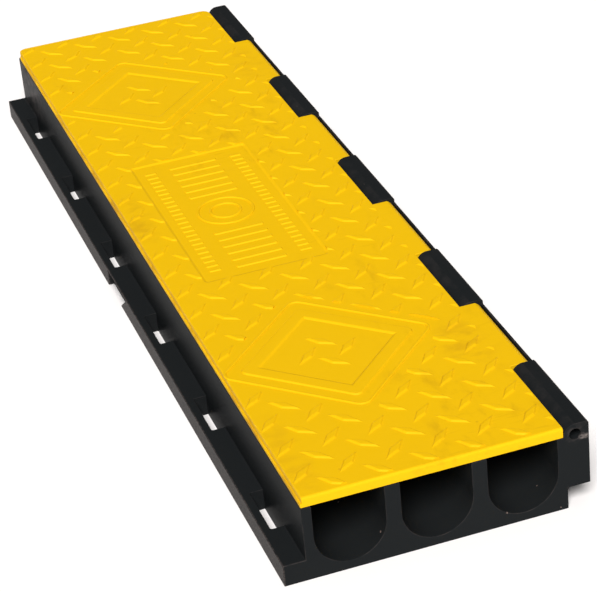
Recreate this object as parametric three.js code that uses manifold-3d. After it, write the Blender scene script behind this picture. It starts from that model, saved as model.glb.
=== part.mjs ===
// Three-channel floor cord cover: a black base with a hinged yellow lid on a hinge rod.
// Millimetres, +Z up. The channels run along Y, the joining ledge is at -X and the hinge at +X.
// The origin is on the floor, in the middle of the cover's length and width.
import * as THREE from "three";
import { mergeVertices } from "three/addons/utils/BufferGeometryUtils.js";
import Module from "manifold-3d";

const wasm = await Module();
wasm.setup();

// Base section
const length = 914.4;
const channelCount = 3;
const channelWidth = 57.15;
const channelFloor = 7.5;
const wallTop = 64.5;
const leftWall = 8;
const web = 12.5;
const rightWall = 7.5;
const edgeRound = 1.2;

// Joining ledge, and the undercut at the other side that takes a neighbour's ledge
const ledgeWidth = 18.2;
const ledgeHeight = 18.3;
const joinClearance = 0.5;
const undercutRound = 3;

// Slots through the ledge, each open to the wall's foot
const slotCount = 6;
const slotPitch = 151.6;
const slotShift = -2.5;
const slotLength = 53;
const slotRim = 7;
const slotCorner = 1.5;

// Finger notch in the ledge's outer side
const notchStart = 7.8;
const notchLength = 40;
const notchLean = 24;
const notchDepth = 5;
const notchSkin = 1.2;
const notchFoot = 3;

// Hinge
const knuckleCount = 5;
const knuckleLength = 98.4;
const knuckleProud = 1.2;
const knuckleChamfer = 1.6;
const shoulderGap = 0.4;
const barrelDrop = 0.5;
const barrelGap = 0.6;
const fingerEndGap = 0.8;
const stripThickness = 2;
const stripDrop = 4.2;
const axisAboveSeat = 0.6;
const rodDiameter = 8.9;
const rodGap = 0.3;
const rodRecess = 12;

// Lid
const lidThickness = 8.7;
const seatGap = 0.3;
const lipHeight = 3.2;
const lipReach = 1.3;
const lidEdgeRound = 1.2;
const lidCornerRadius = 9;
const nearCornerRadius = 1.5;

// Moulded relief on the lid: two diamond frames and a sunk panel between them
const reliefX = -18;
const reliefY = 4.5;
const reliefHeight = 1;
const diamondSpacing = 550;
const beadHalf = 65;
const beadWidth = 2.6;
const beadCorner = 10;
const frameHalf = 53.2;
const frameWidth = 13;
const frameCorner = 2;
const panelLength = 243.5;
const panelWidth = 113.5;
const panelCorner = 2.5;
const panelDepth = 1;

// Curve fineness
const channelSegments = 24;
const barrelSegments = 28;
const roundSegments = 4;
const cornerSegments = 6;

// Places that follow from the sizes above
const undercutWidth = ledgeWidth + joinClearance;
const undercutHeight = ledgeHeight + joinClearance;
const channelPitch = channelWidth + web;
const width =
  ledgeWidth + leftWall + channelCount * channelPitch - web + rightWall + undercutWidth;
const left = -width / 2;
const right = width / 2;
const wallFace = left + ledgeWidth;
const firstChannel = wallFace + leftWall;
const undercutFace = right - undercutWidth;
const channelRadius = channelWidth / 2;
const seat = wallTop + seatGap;
const lidTop = seat + lidThickness;
const axisZ = seat + axisAboveSeat;
const knuckleRadius = lidTop + knuckleProud - axisZ;
const knuckleTop = axisZ + knuckleRadius;
const barrelRadius = knuckleRadius - barrelDrop;
const pocketRadius = barrelRadius + barrelGap;
const axisX = right - stripThickness - pocketRadius;
const stripTop = knuckleTop - stripDrop;
const lidEdge = axisX - knuckleRadius - shoulderGap;
const boreRadius = rodDiameter / 2 + rodGap;
const knucklePitch = (length - knuckleLength) / (knuckleCount - 1);
const beyond = 5;

// Points on an arc from one angle to another, in degrees, ends included.
function arc(cx, cy, radius, from, to, segments) {
  const points = [];
  for (let i = 0; i <= segments; i++) {
    const angle = THREE.MathUtils.degToRad(from + ((to - from) * i) / segments);
    points.push([cx + radius * Math.cos(angle), cy + radius * Math.sin(angle)]);
  }
  return points;
}

// Corners of a rectangle, each rounded with its own radius, anticlockwise from the low corner.
function roundedOutline(x0, y0, x1, y1, radii, segments) {
  const [a, b, c, d] = radii;
  return [
    ...arc(x0 + a, y0 + a, a, 180, 270, segments),
    ...arc(x1 - b, y0 + b, b, 270, 360, segments),
    ...arc(x1 - c, y1 - c, c, 0, 90, segments),
    ...arc(x0 + d, y1 - d, d, 90, 180, segments),
  ];
}

function extrude(outline, depth) {
  const shape = new THREE.Shape(outline.map(([x, y]) => new THREE.Vector2(x, y)));
  return new THREE.ExtrudeGeometry(shape, { depth, bevelEnabled: false });
}

// A section drawn in X and Z, carried along Y from y0 to y1.
function alongY(outline, y0, y1) {
  return extrude(outline, y1 - y0).rotateX(Math.PI / 2).translate(0, y1, 0);
}

// An outline drawn in Y and Z, carried along X from x0 to x1.
function alongX(outline, x0, x1) {
  return extrude(outline, x1 - x0).rotateX(Math.PI / 2).rotateZ(Math.PI / 2).translate(x0, 0, 0);
}

// A plan outline drawn in X and Y, carried up from z0 to z1.
function upwards(outline, z0, z1) {
  return extrude(outline, z1 - z0).translate(0, 0, z0);
}

function block(x0, y0, z0, x1, y1, z1) {
  const box = new THREE.BoxGeometry(x1 - x0, y1 - y0, z1 - z0);
  return box.translate((x0 + x1) / 2, (y0 + y1) / 2, (z0 + z1) / 2);
}

function solid(geometry) {
  const bare = geometry.clone();
  bare.deleteAttribute("normal");
  bare.deleteAttribute("uv");
  const merged = mergeVertices(bare, 1e-4);
  return new wasm.Manifold(
    new wasm.Mesh({
      numProp: 3,
      vertProperties: merged.attributes.position.array,
      triVerts: new Uint32Array(merged.index.array),
    }),
  );
}

function namedMesh(name, made, material) {
  const { vertProperties, triVerts } = made.getMesh();
  const geometry = new THREE.BufferGeometry()
    .setAttribute("position", new THREE.BufferAttribute(vertProperties, 3))
    .setIndex(new THREE.BufferAttribute(triVerts, 1));
  geometry.computeVertexNormals();
  const mesh = new THREE.Mesh(geometry, material);
  mesh.name = name;
  return mesh;
}

const blackRubber = new THREE.MeshStandardMaterial({ color: 0x1b1d1e, roughness: 0.45, metalness: 0 });
const yellowRubber = new THREE.MeshStandardMaterial({ color: 0xf5c014, roughness: 0.5, metalness: 0 });
const rodGlass = new THREE.MeshStandardMaterial({ color: 0x3a3c38, roughness: 0.55, metalness: 0 });

// The U of one channel, open at the top, with its lips rounded.
function channelOutline(x0) {
  const x1 = x0 + channelWidth;
  const lip = wallTop - edgeRound;
  return [
    ...arc(x0 - edgeRound, lip, edgeRound, 0, 90, roundSegments).reverse(),
    ...arc(x0 + channelRadius, channelFloor + channelRadius, channelRadius, 180, 360, channelSegments),
    ...arc(x1 + edgeRound, lip, edgeRound, 90, 180, roundSegments).reverse(),
  ];
}

// The whole base section, as it is at a hinge knuckle.
function baseOutline() {
  const points = [
    [left, 0],
    [undercutFace, 0],
    ...arc(undercutFace + undercutRound, undercutHeight - undercutRound, undercutRound,
      180, 90, roundSegments),
    [right, undercutHeight],
    [right, knuckleTop - knuckleChamfer],
    [right - knuckleChamfer, knuckleTop],
    ...arc(axisX, axisZ, knuckleRadius, 90, 180, barrelSegments / 4),
    [axisX - knuckleRadius, wallTop],
  ];
  for (let i = channelCount - 1; i >= 0; i--)
    points.push(...channelOutline(firstChannel + i * channelPitch).reverse());
  points.push(
    ...arc(wallFace + edgeRound, wallTop - edgeRound, edgeRound, 90, 180, roundSegments),
    [wallFace, ledgeHeight],
    ...arc(left + edgeRound, ledgeHeight - edgeRound, edgeRound, 90, 180, roundSegments),
  );
  return points;
}

// The room that a lid finger turns in, open upwards and over the outer strip.
function fingerPocket(y0, y1) {
  const outline = [
    ...arc(axisX, axisZ, pocketRadius, 180, 360, barrelSegments / 2),
    [axisX + pocketRadius, stripTop],
    [right + beyond, stripTop],
    [right + beyond, knuckleTop + beyond],
    [axisX - pocketRadius, knuckleTop + beyond],
  ];
  return alongY(outline, y0, y1);
}

function hingeHole() {
  const hole = alongY(arc(axisX, axisZ, boreRadius, 0, 360, barrelSegments).slice(0, -1),
    -length / 2 - beyond, length / 2 + beyond);
  return solid(hole);
}

function makeBase() {
  let base = solid(alongY(baseOutline(), -length / 2, length / 2));
  for (let i = 0; i < knuckleCount - 1; i++) {
    const start = -length / 2 + i * knucklePitch + knuckleLength;
    base = base.subtract(solid(fingerPocket(start, start + knucklePitch - knuckleLength)));
  }
  base = base.subtract(hingeHole());

  for (let i = 0; i < slotCount; i++) {
    const start = slotShift + (i - (slotCount - 1) / 2) * slotPitch - slotLength / 2;
    const slot = [
      [wallFace, start],
      [wallFace, start + slotLength],
      ...arc(left + slotRim + slotCorner, start + slotLength - slotCorner, slotCorner,
        90, 180, roundSegments),
      ...arc(left + slotRim + slotCorner, start + slotCorner, slotCorner,
        180, 270, roundSegments),
    ];
    base = base.subtract(solid(upwards(slot, -beyond, ledgeHeight + beyond)));
  }

  const notchEnd = notchStart + notchLength;
  const notchTop = ledgeHeight - notchSkin;
  const notch = [
    [notchStart + (notchLean * beyond) / notchTop, -beyond],
    [notchEnd + notchFoot + beyond, -beyond],
    [notchEnd, notchFoot],
    [notchEnd, notchTop],
    [notchStart - notchLean, notchTop],
  ];
  return base.subtract(solid(alongX(notch, left - beyond, left + notchDepth)));
}

// The lid section at a finger: the plate with its lip, and the barrel round the rod.
function lidOutline() {
  const half = axisAboveSeat / barrelRadius;
  const under = 180 + THREE.MathUtils.radToDeg(Math.asin(half));
  const over = THREE.MathUtils.radToDeg(Math.asin((lidTop - axisZ) / barrelRadius));
  return [
    [wallFace, seat],
    ...arc(axisX, axisZ, barrelRadius, under, 360 + over, barrelSegments),
    ...arc(wallFace + lipReach + lidEdgeRound, lidTop - lidEdgeRound, lidEdgeRound,
      90, 180, roundSegments),
    [wallFace + lipReach, seat + lipHeight],
    [wallFace, seat + lipHeight - lipReach],
  ];
}

// What a hinge knuckle needs clear of the lid.
function knuckleRoom(y0, y1) {
  return block(lidEdge, y0, axisZ - pocketRadius - beyond, right + beyond, y1, knuckleTop + beyond);
}

// A square standing on its corner, with rounded corners.
function diamond(half, corner, centreY, z0, z1) {
  const radii = [corner, corner, corner, corner];
  const outline = roundedOutline(-half, -half, half, half, radii, cornerSegments);
  return upwards(outline, z0, z1).rotateZ(Math.PI / 4).translate(reliefX, centreY, 0);
}

function diamondRing(half, ringWidth, corner, centreY) {
  const inner = Math.max(corner - ringWidth, frameCorner);
  const root = lidTop - reliefHeight;
  const top = lidTop + reliefHeight;
  return solid(diamond(half, corner, centreY, root, top)).subtract(
    solid(diamond(half - ringWidth, inner, centreY, root - beyond, top + beyond)));
}

function makeLid() {
  let lid = solid(alongY(lidOutline(), -length / 2, length / 2));
  for (let i = 0; i < knuckleCount; i++) {
    const start = -length / 2 + i * knucklePitch;
    const y0 = i === 0 ? start - beyond : start - fingerEndGap;
    const y1 = i === knuckleCount - 1 ? start + knuckleLength + beyond
      : start + knuckleLength + fingerEndGap;
    lid = lid.subtract(solid(knuckleRoom(y0, y1)));
  }
  lid = lid.subtract(hingeHole());

  const plan = roundedOutline(wallFace, -length / 2, lidEdge, length / 2,
    [nearCornerRadius, nearCornerRadius, lidCornerRadius, lidCornerRadius], cornerSegments);
  const fingers = block(lidEdge - lidCornerRadius, -length / 2 + knuckleLength, 0,
    right, length / 2 - knuckleLength, knuckleTop + beyond);
  const trim = solid(upwards(plan, 0, knuckleTop + beyond)).add(solid(fingers));
  lid = lid.intersect(trim);

  for (const side of [-1, 1]) {
    const centreY = reliefY + (side * diamondSpacing) / 2;
    lid = lid.add(diamondRing(beadHalf, beadWidth, beadCorner, centreY));
    lid = lid.add(diamondRing(frameHalf, frameWidth, frameCorner, centreY));
  }
  const corners = [panelCorner, panelCorner, panelCorner, panelCorner];
  const panel = roundedOutline(reliefX - panelWidth / 2, reliefY - panelLength / 2,
    reliefX + panelWidth / 2, reliefY + panelLength / 2, corners, cornerSegments);
  return lid.subtract(solid(upwards(panel, lidTop - panelDepth, lidTop + beyond)));
}

function makeRod() {
  const rod = new THREE.CylinderGeometry(
    rodDiameter / 2, rodDiameter / 2, length - 2 * rodRecess, barrelSegments);
  return solid(rod.translate(axisX, 0, axisZ));
}

const group = new THREE.Group();
group.add(namedMesh("base", makeBase(), blackRubber));
group.add(namedMesh("lid", makeLid(), yellowRubber));
group.add(namedMesh("hinge_rod", makeRod(), rodGlass));

export default group;
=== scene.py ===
"""Looks of a floor cord cover: black moulded base, yellow tread lid and the rod that joins them.

Everything is in metres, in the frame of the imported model: +Z up, the channels along Y, the joining
ledge at -X and the hinge at +X.
"""

import logging
import math
from collections.abc import Callable, Iterable, Sequence
from dataclasses import dataclass
from enum import Enum

import bmesh
import bpy
from mathutils import Matrix, Vector


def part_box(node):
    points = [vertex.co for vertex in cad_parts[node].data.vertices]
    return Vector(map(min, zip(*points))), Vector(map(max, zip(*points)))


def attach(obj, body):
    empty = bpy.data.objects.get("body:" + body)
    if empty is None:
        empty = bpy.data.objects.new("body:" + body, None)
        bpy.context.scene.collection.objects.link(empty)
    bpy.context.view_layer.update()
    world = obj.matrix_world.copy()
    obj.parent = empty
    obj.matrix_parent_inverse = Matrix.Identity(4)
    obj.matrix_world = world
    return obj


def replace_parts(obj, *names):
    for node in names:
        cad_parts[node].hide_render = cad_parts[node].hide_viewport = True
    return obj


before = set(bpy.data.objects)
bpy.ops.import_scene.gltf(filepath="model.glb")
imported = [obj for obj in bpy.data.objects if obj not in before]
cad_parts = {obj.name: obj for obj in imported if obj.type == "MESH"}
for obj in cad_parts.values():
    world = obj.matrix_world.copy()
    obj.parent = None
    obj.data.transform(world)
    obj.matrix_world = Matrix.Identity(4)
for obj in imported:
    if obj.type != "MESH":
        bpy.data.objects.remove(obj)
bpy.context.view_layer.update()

log = logging.getLogger("cord_cover")

Point = tuple[float, float]
Colour = tuple[float, float, float, float]
Ring = list[tuple[float, float, float]]
EdgeRule = Callable[[Vector, Vector, bool], float]

# An edge runs lengthwise where at least this share of its direction lies along Y
LENGTHWISE = 0.99


class Slot(Enum):
    """The record's material slots."""

    BLACK = "black_rubber"
    YELLOW = "yellow_rubber"
    ROD = "rod"


class Body(Enum):
    """The bodies that the pieces ride on."""

    BASE = "base"
    LID = "lid"


class Axis(Enum):
    """The axis that a prism runs along."""

    X = "X"
    Y = "Y"
    Z = "Z"


class Combine(Enum):
    """How one solid is put together with another."""

    CUT = "DIFFERENCE"
    JOIN = "UNION"
    MEET = "INTERSECT"


def screen(red: int, green: int, blue: int) -> Colour:
    """A colour as a screen shows it, turned into the linear values that shaders take.

    Args:
        red: Red, 0 to 255.
        green: Green, 0 to 255.
        blue: Blue, 0 to 255.

    Returns:
        The linear colour with full alpha.
    """
    def straight(value: int) -> float:
        """One channel's linear value."""
        share = value / 255
        return share / 12.92 if share <= 0.04045 else ((share + 0.055) / 1.055) ** 2.4

    return (straight(red), straight(green), straight(blue), 1.0)


def arc(centre: Point, radius: float, start: float, end: float, steps: int) -> list[Point]:
    """Points along an arc, ends included.

    Args:
        centre: The arc's centre.
        radius: Its radius.
        start: First angle in degrees.
        end: Last angle in degrees.
        steps: How many chords it has.

    Returns:
        The points in order.
    """
    turn = [math.radians(start + (end - start) * i / steps) for i in range(steps + 1)]
    return [(centre[0] + radius * math.cos(a), centre[1] + radius * math.sin(a)) for a in turn]


def rounded_rectangle(low: Point, high: Point, radii: Sequence[float], steps: int) -> list[Point]:
    """A rectangle with rounded corners, anticlockwise from its low corner.

    Args:
        low: The low corner.
        high: The high corner.
        radii: The four corner radii, in the same order as the corners. A radius of 0 is square.
        steps: Chords in each corner.

    Returns:
        The outline.
    """
    (x0, y0), (x1, y1) = low, high
    outline = []
    for (x, y), (in_x, in_y), start, r in zip(
        ((x0, y0), (x1, y0), (x1, y1), (x0, y1)), ((1, 1), (-1, 1), (-1, -1), (1, -1)),
        (180, 270, 0, 90), radii,
    ):
        outline += arc((x + in_x * r, y + in_y * r), r, start, start + 90, steps) if r else [(x, y)]
    return outline


class Solid:
    """A closed mesh under construction, cut and joined until it is ready to be a piece."""

    # Points this near become one, faces this level become one, and sharper edges than this are rounded
    SAME_PLACE = 2e-6
    FLAT = math.radians(0.4)
    SHARP = math.radians(20)
    SHADING_WEIGHT = 100

    def __init__(self, mesh: bpy.types.Mesh) -> None:
        """Puts the mesh in the scene as a working object.

        Args:
            mesh: A closed mesh.
        """
        self.thing = bpy.data.objects.new("work", mesh)
        bpy.context.scene.collection.objects.link(self.thing)

    @classmethod
    def prism(cls, outline: Sequence[Point], axis: Axis, low: float, high: float) -> "Solid":
        """A straight prism.

        Args:
            outline: Its section: (x, z) along Y, (y, z) along X or (x, y) along Z.
            axis: The axis that it runs along.
            low: Where it starts on that axis.
            high: Where it ends.

        Returns:
            The closed prism.
        """
        place = {
            Axis.X: lambda p, t: (t, p[0], p[1]),
            Axis.Y: lambda p, t: (p[0], t, p[1]),
            Axis.Z: lambda p, t: (p[0], p[1], t),
        }[axis]
        bm = bmesh.new()
        first = [bm.verts.new(place(p, low)) for p in outline]
        last = [bm.verts.new(place(p, high)) for p in outline]
        bm.faces.new(first)
        bm.faces.new(list(reversed(last)))
        for i, (a, b) in enumerate(zip(first, last)):
            j = (i + 1) % len(first)
            bm.faces.new((a, b, last[j], first[j]))
        bmesh.ops.recalc_face_normals(bm, faces=bm.faces)
        mesh = bpy.data.meshes.new("prism")
        bm.to_mesh(mesh)
        bm.free()
        return cls(mesh)

    @classmethod
    def stack(cls, rings: Sequence[Ring]) -> "Solid":
        """A solid that runs through rings of points, from the lowest to the highest.

        Args:
            rings: Rings of as many points each.

        Returns:
            The closed solid.
        """
        bm = bmesh.new()
        loops = [[bm.verts.new(p) for p in ring] for ring in rings]
        bm.faces.new(loops[0])
        bm.faces.new(list(reversed(loops[-1])))
        for low, high in zip(loops, loops[1:]):
            for i in range(len(low)):
                j = (i + 1) % len(low)
                bm.faces.new((low[i], low[j], high[j], high[i]))
        bmesh.ops.recalc_face_normals(bm, faces=bm.faces)
        mesh = bpy.data.meshes.new("stack")
        bm.to_mesh(mesh)
        bm.free()
        return cls(mesh)

    @classmethod
    def block(cls, low: Sequence[float], high: Sequence[float]) -> "Solid":
        """A rectangular block.

        Args:
            low: Its lowest corner.
            high: Its highest corner.

        Returns:
            The closed block.
        """
        (x0, y0, z0), (x1, y1, z1) = low, high
        return cls.prism([(x0, y0), (x1, y0), (x1, y1), (x0, y1)], Axis.Z, z0, z1)

    def combine(self, others: Iterable["Solid"], how: Combine) -> "Solid":
        """Cuts, joins or intersects this solid with others, which are used up.

        Args:
            others: The other solids.
            how: What is done with each.

        Returns:
            This solid.
        """
        spent = list(others)
        for other in spent:
            boolean = self.thing.modifiers.new(how.name, "BOOLEAN")
            boolean.solver = "MANIFOLD"
            boolean.operation = how.value
            boolean.object = other.thing
        self.apply()
        for other in spent:
            other.discard()
        return self

    def apply(self) -> None:
        """Makes the modified mesh the solid's own mesh."""
        bpy.context.view_layer.update()
        seen = self.thing.evaluated_get(bpy.context.evaluated_depsgraph_get())
        mesh = bpy.data.meshes.new_from_object(seen)
        old = self.thing.data
        self.thing.modifiers.clear()
        self.thing.data = mesh
        bpy.data.meshes.remove(old)

    def discard(self) -> None:
        """Takes a used solid out of the scene."""
        mesh = self.thing.data
        bpy.data.objects.remove(self.thing)
        bpy.data.meshes.remove(mesh)

    def soften(self, radius_of: EdgeRule, segments: int) -> "Solid":
        """Rounds the sharp edges, each with its own radius, and shades the solid smoothly.

        Args:
            radius_of: Gives an edge's radius from its middle, its direction and whether it is convex.
            segments: Faces across each round.

        Returns:
            This solid.
        """
        bm = bmesh.new()
        bm.from_mesh(self.thing.data)
        bmesh.ops.remove_doubles(bm, verts=bm.verts, dist=self.SAME_PLACE)
        bmesh.ops.dissolve_limit(bm, angle_limit=self.FLAT, verts=bm.verts, edges=bm.edges)
        weight = bm.edges.layers.float.new("bevel_weight_edge")
        radii = [self.edge_radius(e, radius_of) for e in bm.edges]
        widest = max(radii)
        for edge, radius in zip(bm.edges, radii):
            edge[weight] = radius / widest
        bm.to_mesh(self.thing.data)
        bm.free()
        bevel = self.thing.modifiers.new("rounds", "BEVEL")
        bevel.limit_method = "WEIGHT"
        bevel.width = widest
        bevel.segments = segments
        bevel.use_clamp_overlap = False
        bevel.miter_outer = "MITER_SHARP"
        self.thing.data.shade_smooth()
        normals = self.thing.modifiers.new("shading", "WEIGHTED_NORMAL")
        normals.weight = self.SHADING_WEIGHT
        normals.keep_sharp = False
        self.apply()
        return self

    def edge_radius(self, edge: bmesh.types.BMEdge, radius_of: EdgeRule) -> float:
        """The radius that one edge is rounded with.

        Args:
            edge: The edge.
            radius_of: The solid's own rule.

        Returns:
            The radius, or 0 where the edge isn't sharp.
        """
        if not edge.is_manifold or edge.calc_face_angle() < self.SHARP:
            return 0.0
        start, end = (v.co for v in edge.verts)
        along = (end - start).normalized()
        return radius_of((start + end) / 2, along, edge.is_convex)

    def piece(self, name: str, body: Body, slot: Slot, finish: bpy.types.Material) -> bpy.types.Object:
        """Makes the solid a named piece that rides on a body.

        Args:
            name: The piece's name.
            body: The body that it rides on.
            slot: The record's material slot for it. Not used.
            finish: Its material.

        Returns:
            The piece.
        """
        self.thing.name = name
        self.thing.data.name = name
        self.thing.data.materials.clear()
        self.thing.data.materials.append(finish)
        mark_edges(self.thing.data)
        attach(self.thing, body.value)
        log.info("%s: %d faces on %s", name, len(self.thing.data.polygons), body.value)
        return self.thing


# The faces' own number for edge wear and painted edge highlights, the roundness in metres that gives
# it in full, and its limits
EDGE_MARK = "edge_mark"
EDGE_TIGHTNESS = 0.0035
LEAST_SPACING = 1e-6
LARGEST_WORN_AND_HIGHLIT_FACE = 4e-4


def mark_edges(mesh: bpy.types.Mesh) -> None:
    """Marks each face by how tightly the surface turns outwards there, for the wear and the painted
    highlights on the edges.

    Args:
        mesh: The finished mesh. It gets a number from 0 to 1 on each face.
    """
    bm = bmesh.new()
    bm.from_mesh(mesh)
    bm.normal_update()
    layer = bm.faces.layers.float.new(EDGE_MARK)
    for face in bm.faces:
        tightest = 0.0
        for edge in face.edges:
            if edge.is_manifold and edge.is_convex:
                other = next(f for f in edge.link_faces if f != face)
                across = (face.calc_center_median() - other.calc_center_median()).length
                turn = edge.calc_face_angle(0.0)
                tightest = max(tightest, turn * EDGE_TIGHTNESS / max(across, LEAST_SPACING))
        face[layer] = min(1.0, tightest) if face.calc_area() < LARGEST_WORN_AND_HIGHLIT_FACE else 0.0
    bm.to_mesh(mesh)
    bm.free()


@dataclass(frozen=True)
class Cover:
    """Sizes that the base, the lid and the rod share."""

    length: float
    width: float
    channel_count: int = 3
    channel_width: float = 0.05715
    channel_floor: float = 0.0075
    wall_top: float = 0.0645
    left_wall: float = 0.008
    web: float = 0.0125
    ledge_width: float = 0.0182
    ledge_height: float = 0.0183
    join_clearance: float = 0.0005
    knuckle_count: int = 5
    knuckle_length: float = 0.0984
    knuckle_proud: float = 0.0012
    barrel_drop: float = 0.0005
    barrel_gap: float = 0.0006
    shoulder_gap: float = 0.0004
    finger_end_gap: float = 0.0008
    strip_thickness: float = 0.002
    axis_above_seat: float = 0.0006
    rod_diameter: float = 0.0089
    rod_gap: float = 0.0003
    rod_recess: float = 0.012
    rod_sides: int = 40
    lid_thickness: float = 0.0087
    seat_gap: float = 0.0003
    beyond: float = 0.005

    @classmethod
    def from_frame(cls) -> "Cover":
        """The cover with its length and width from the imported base."""
        low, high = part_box("base")
        return cls(length=high.y - low.y, width=high.x - low.x)

    @property
    def left(self) -> float:
        """The ledge's outer face."""
        return -self.width / 2

    @property
    def right(self) -> float:
        """The hinge side's outer face."""
        return self.width / 2

    @property
    def near(self) -> float:
        """The near end face."""
        return -self.length / 2

    @property
    def far(self) -> float:
        """The far end face."""
        return self.length / 2

    @property
    def wall_face(self) -> float:
        """The wall that rises from the ledge."""
        return self.left + self.ledge_width

    @property
    def undercut_face(self) -> float:
        """The wall under the hinge that a neighbour's ledge comes up to."""
        return self.right - self.ledge_width - self.join_clearance

    @property
    def undercut_height(self) -> float:
        """The ceiling over a neighbour's ledge."""
        return self.ledge_height + self.join_clearance

    @property
    def channel_pitch(self) -> float:
        """From one channel to the next."""
        return self.channel_width + self.web

    @property
    def first_channel(self) -> float:
        """The left side of the first channel."""
        return self.wall_face + self.left_wall

    @property
    def seat(self) -> float:
        """The lid's underside."""
        return self.wall_top + self.seat_gap

    @property
    def lid_top(self) -> float:
        """The plate's top, between the lugs."""
        return self.seat + self.lid_thickness

    @property
    def axis_z(self) -> float:
        """The hinge axis, in height."""
        return self.seat + self.axis_above_seat

    @property
    def knuckle_radius(self) -> float:
        """The round of a knuckle's shoulder."""
        return self.lid_top + self.knuckle_proud - self.axis_z

    @property
    def knuckle_top(self) -> float:
        """The flat top of a knuckle."""
        return self.axis_z + self.knuckle_radius

    @property
    def barrel_radius(self) -> float:
        """The round of a lid finger."""
        return self.knuckle_radius - self.barrel_drop

    @property
    def pocket_radius(self) -> float:
        """The room that a finger turns in."""
        return self.barrel_radius + self.barrel_gap

    @property
    def axis_x(self) -> float:
        """The hinge axis, in width."""
        return self.right - self.strip_thickness - self.pocket_radius

    @property
    def lid_edge(self) -> float:
        """The lid's edge along the knuckles."""
        return self.axis_x - self.knuckle_radius - self.shoulder_gap

    @property
    def bore_radius(self) -> float:
        """The hole that the rod runs through."""
        return self.rod_diameter / 2 + self.rod_gap

    @property
    def knuckle_starts(self) -> list[float]:
        """Where each knuckle starts, near end first."""
        pitch = (self.length - self.knuckle_length) / (self.knuckle_count - 1)
        return [self.near + i * pitch for i in range(self.knuckle_count)]

    def rod_circle(self, radius: float) -> list[Point]:
        """A circle round the hinge axis, in X and Z."""
        return arc((self.axis_x, self.axis_z), radius, 0, 360, self.rod_sides)[:-1]

    def rod_hole(self) -> Solid:
        """The cutter for the hole along the hinge axis."""
        circle = self.rod_circle(self.bore_radius)
        return Solid.prism(circle, Axis.Y, self.near - self.beyond, self.far + self.beyond)


@dataclass(frozen=True)
class Grain:
    """The node groups that the rubber finishes share, each built once."""

    surface: bpy.types.NodeTree
    tone: bpy.types.NodeTree
    wear: bpy.types.NodeTree
    smudge: bpy.types.NodeTree
    dust: bpy.types.NodeTree
    spot: bpy.types.NodeTree

    @classmethod
    def build(cls) -> "Grain":
        """Builds every group.

        Returns:
            The groups.
        """
        return cls(
            surface=surface_group(),
            tone=tone_group(),
            wear=wear_group(),
            smudge=smudge_group(),
            dust=dust_group(),
            spot=spot_group(),
        )


class Group:
    """A shader node group under construction."""

    def __init__(self, name: str) -> None:
        """Starts an empty group.

        Args:
            name: The group's name.
        """
        self.tree = bpy.data.node_groups.new(name, "ShaderNodeTree")
        self.start = self.tree.nodes.new("NodeGroupInput")
        self.end = self.tree.nodes.new("NodeGroupOutput")

    def take(self, name: str, kind: str, value: float | None = None) -> bpy.types.NodeSocket:
        """Adds an input.

        Args:
            name: The input's name.
            kind: Its type, without the word NodeSocket.
            value: What it is unless it is set.

        Returns:
            The socket inside the group.
        """
        item = self.tree.interface.new_socket(name, in_out="INPUT", socket_type="NodeSocket" + kind)
        if value is not None:
            item.default_value = value
        return self.start.outputs[name]

    def give(self, name: str, kind: str, source: bpy.types.NodeSocket) -> None:
        """Adds an output and feeds it.

        Args:
            name: The output's name.
            kind: Its type, without the word NodeSocket.
            source: What feeds it.
        """
        self.tree.interface.new_socket(name, in_out="OUTPUT", socket_type="NodeSocket" + kind)
        self.tree.links.new(source, self.end.inputs[name])


def add(tree: bpy.types.NodeTree, kind: str, inputs: dict, **settings: object) -> bpy.types.Node:
    """Adds a node, sets it and links it.

    Args:
        tree: The node tree.
        kind: The node's type, without the words ShaderNode.
        inputs: What goes into each input, by name or number: a socket or a value.
        settings: The node's own properties.

    Returns:
        The node.
    """
    node = tree.nodes.new("ShaderNode" + kind)
    for name, value in settings.items():
        setattr(node, name, value)
    for key, value in inputs.items():
        if isinstance(value, bpy.types.NodeSocket):
            tree.links.new(value, node.inputs[key])
        else:
            node.inputs[key].default_value = value
    return node


def noise(tree: bpy.types.NodeTree, place: bpy.types.NodeSocket, *, scale: object, detail: float,
          roughness: float = 0.5) -> bpy.types.NodeSocket:
    """Adds a noise texture.

    Args:
        tree: The node tree.
        place: Where it is sampled.
        scale: Its scale, a number or a socket.
        detail: How many finer layers it has.
        roughness: How strong the finer layers are.

    Returns:
        Its value, around 0.5.
    """
    made = add(tree, "TexNoise", {"Vector": place, "Scale": scale, "Detail": detail,
                                  "Roughness": roughness})
    return made.outputs["Fac"]


def sums(tree: bpy.types.NodeTree, how: str, *values: object) -> bpy.types.NodeSocket:
    """Adds a Math node.

    Args:
        tree: The node tree.
        how: The operation.
        values: Its inputs, in order.

    Returns:
        Its value.
    """
    node = add(tree, "Math", dict(enumerate(values)), operation=how)
    return node.outputs["Value"]


def ramp(tree: bpy.types.NodeTree, value: object, *, low: object,
         high: object) -> bpy.types.NodeSocket:
    """Adds a smooth step from 0 at low to 1 at high.

    Args:
        tree: The node tree.
        value: What is compared.
        low: Where the step starts.
        high: Where it ends.

    Returns:
        The step's value.
    """
    node = add(tree, "MapRange", {"Value": value, "From Min": low, "From Max": high},
               interpolation_type="SMOOTHSTEP")
    return node.outputs["Result"]


def stretched(tree: bpy.types.NodeTree, place: bpy.types.NodeSocket, by: Sequence[float],
              turn: float = 0.0) -> bpy.types.NodeSocket:
    """Stretches and turns the place where a texture is sampled.

    Args:
        tree: The node tree.
        place: The place.
        by: A factor for each axis.
        turn: A turn about Z, in degrees.

    Returns:
        The new place.
    """
    node = add(tree, "Mapping", {"Vector": place, "Scale": by,
                                 "Rotation": (0.0, 0.0, math.radians(turn))})
    return node.outputs["Vector"]


# Metres of height in the skin's bump, and how strong parts of the other patterns are
GRAIN_DEPTH = 0.00012
SINK_DEPTH = 0.0016
SLOW_TONE_SHARE = 0.65
STREAK_SHARE = 0.8
SPECK_REACH = 0.085


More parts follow.
